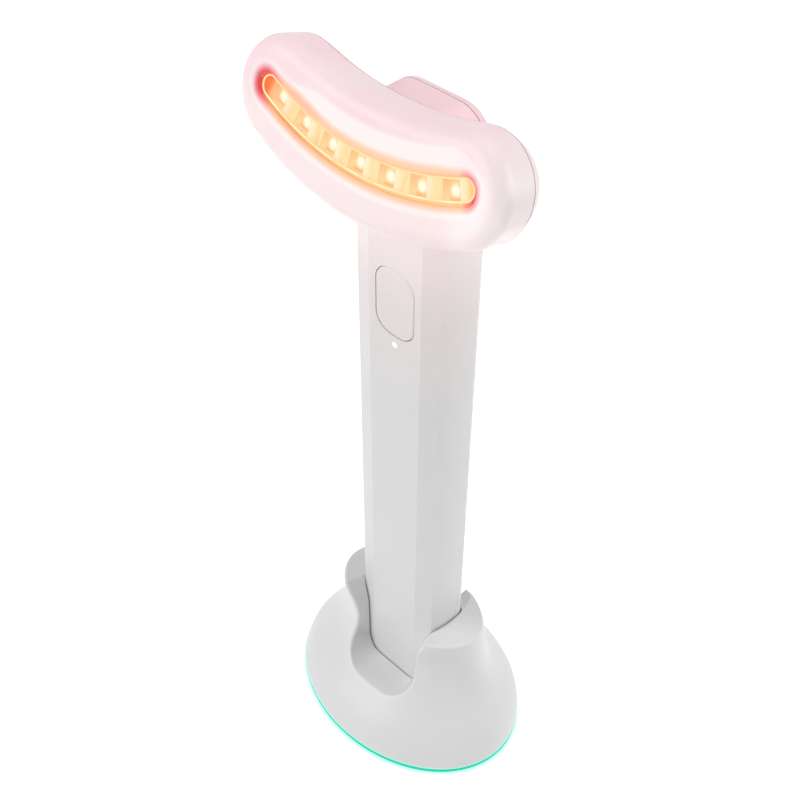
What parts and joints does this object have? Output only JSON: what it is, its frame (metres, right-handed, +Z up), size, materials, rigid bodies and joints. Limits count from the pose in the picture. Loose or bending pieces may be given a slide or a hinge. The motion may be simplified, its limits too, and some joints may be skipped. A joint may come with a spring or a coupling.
{
  "type": "light therapy wand",
  "caption": "Handheld light wand with a curved glowing head on a flat-backed grip with a push button, standing in an oval charging dock with a light ring.",
  "frame": {"origin": "middle of the dock's foot on the table", "axes": "+Z up, front towards -Y where the lit head and the button face, +X to the right seen from behind"},
  "size_m": [0.0732, 0.0552, 0.2087],
  "materials": {
    "satin_white": "fine satin",
    "blush_satin": "fine satin",
    "dock_white": "smooth satin",
    "button_satin": "fine satin",
    "window_red": "clear, tinted",
    "reflector_white": "bright white",
    "emitter_yellow": "clear",
    "ring_teal": "milky, lit",
    "board_green": "satin",
    "component_black": "matt",
    "contact_gold": "plated",
    "screw_steel": "zinc plated",
    "foot_rubber": "matt",
    "ballast_steel": "cut plate",
    "battery_wrap": "shrink wrap",
    "pad_foam": "foam",
    "lead_red": "wire sleeve",
    "motor_metal": "drawn",
    "light_clear": "frosted",
    "usb_metal": "drawn",
    "flex_amber": "film"
  },
  "bodies": {
    "dock": {"dock_shell": "dock_white", "dock_light_ring": "ring_teal", "ring_light_board": "board_green", "ring_leds": "emitter_yellow", "dock_base_plate": "dock_white", "dock_foot": "foot_rubber", "dock_ballast": "ballast_steel", "dock_screws": "screw_steel", "dock_board": "board_green", "dock_board_parts": "component_black", "dock_board_screws": "screw_steel", "pin_carrier": "component_black", "usb_inlet": "usb_metal"},
    "wand": {"wand_housing": "satin_white", "back_cover": "satin_white", "cover_screws": "screw_steel", "block_cap": "blush_satin", "vibration_motor": "motor_metal", "head_front": "blush_satin", "head_back": "blush_satin", "head_screws": "screw_steel", "led_window": "window_red", "led_reflector": "reflector_white", "led_board": "board_green", "led_emitters": "emitter_yellow", "main_board": "board_green", "board_components": "component_black", "wand_board_screws": "screw_steel", "head_ribbon": "flex_amber", "power_switch": "component_black", "status_light_pipe": "light_clear", "battery_pack": "battery_wrap", "battery_pads": "pad_foam", "charge_leads": "lead_red", "end_cap": "satin_white", "charge_contacts": "contact_gold", "end_cap_seal": "foot_rubber"},
    "button": {"power_button": "button_satin", "switch_plunger": "reflector_white"},
    "pin_left": {"charge_pin_left": "contact_gold"},
    "pin_right": {"charge_pin_right": "contact_gold"}
  },
  "joints": [
    {"name": "wand_lift", "type": "slide", "parent": "dock", "child": "wand", "axis": [0, 0, 1], "range_m": [0, 0.06]},
    {"name": "button_press", "type": "slide", "parent": "wand", "child": "button", "axis": [0, 1, 0], "range_m": [0, 0.0005], "stiffness_N_per_m": 1500, "springref_m": -0.0005},
    {"name": "left_pin_press", "type": "slide", "parent": "dock", "child": "pin_left", "axis": [0, 0, -1], "range_m": [0, 0.0005], "stiffness_N_per_m": 500, "springref_m": -0.0005},
    {"name": "right_pin_press", "type": "slide", "parent": "dock", "child": "pin_right", "axis": [0, 0, -1], "range_m": [0, 0.0005], "stiffness_N_per_m": 500, "springref_m": -0.0005}
  ]
}
